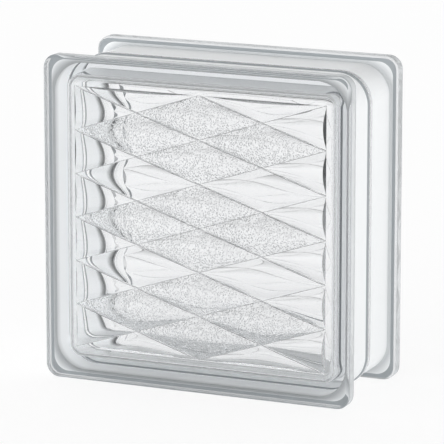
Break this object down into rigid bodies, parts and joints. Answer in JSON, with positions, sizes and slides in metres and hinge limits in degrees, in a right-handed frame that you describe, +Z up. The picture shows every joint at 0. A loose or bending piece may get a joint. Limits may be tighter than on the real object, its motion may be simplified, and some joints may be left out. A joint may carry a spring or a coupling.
{
  "type": "hollow glass block",
  "caption": "Square hollow glass building block of pressed dishes fused at a mid-depth seam, with edge flanges, mortar channels and a diamond lattice inside its panes.",
  "frame": {"origin": "middle of the underside, midway between the two faces, on the floor that the block stands on", "axes": "+Z up; X along the block's width; Y through the wall, with the front face towards -Y"},
  "size_m": [0.19, 0.08, 0.19],
  "materials": {
    "clear_glass": "clear pressed soda-lime glass, fire polished outside, lattice and fine stipple on the inner faces"
  },
  "bodies": {
    "root": {"front_half": "clear_glass", "rear_half": "clear_glass"}
  },
  "joints": []
}
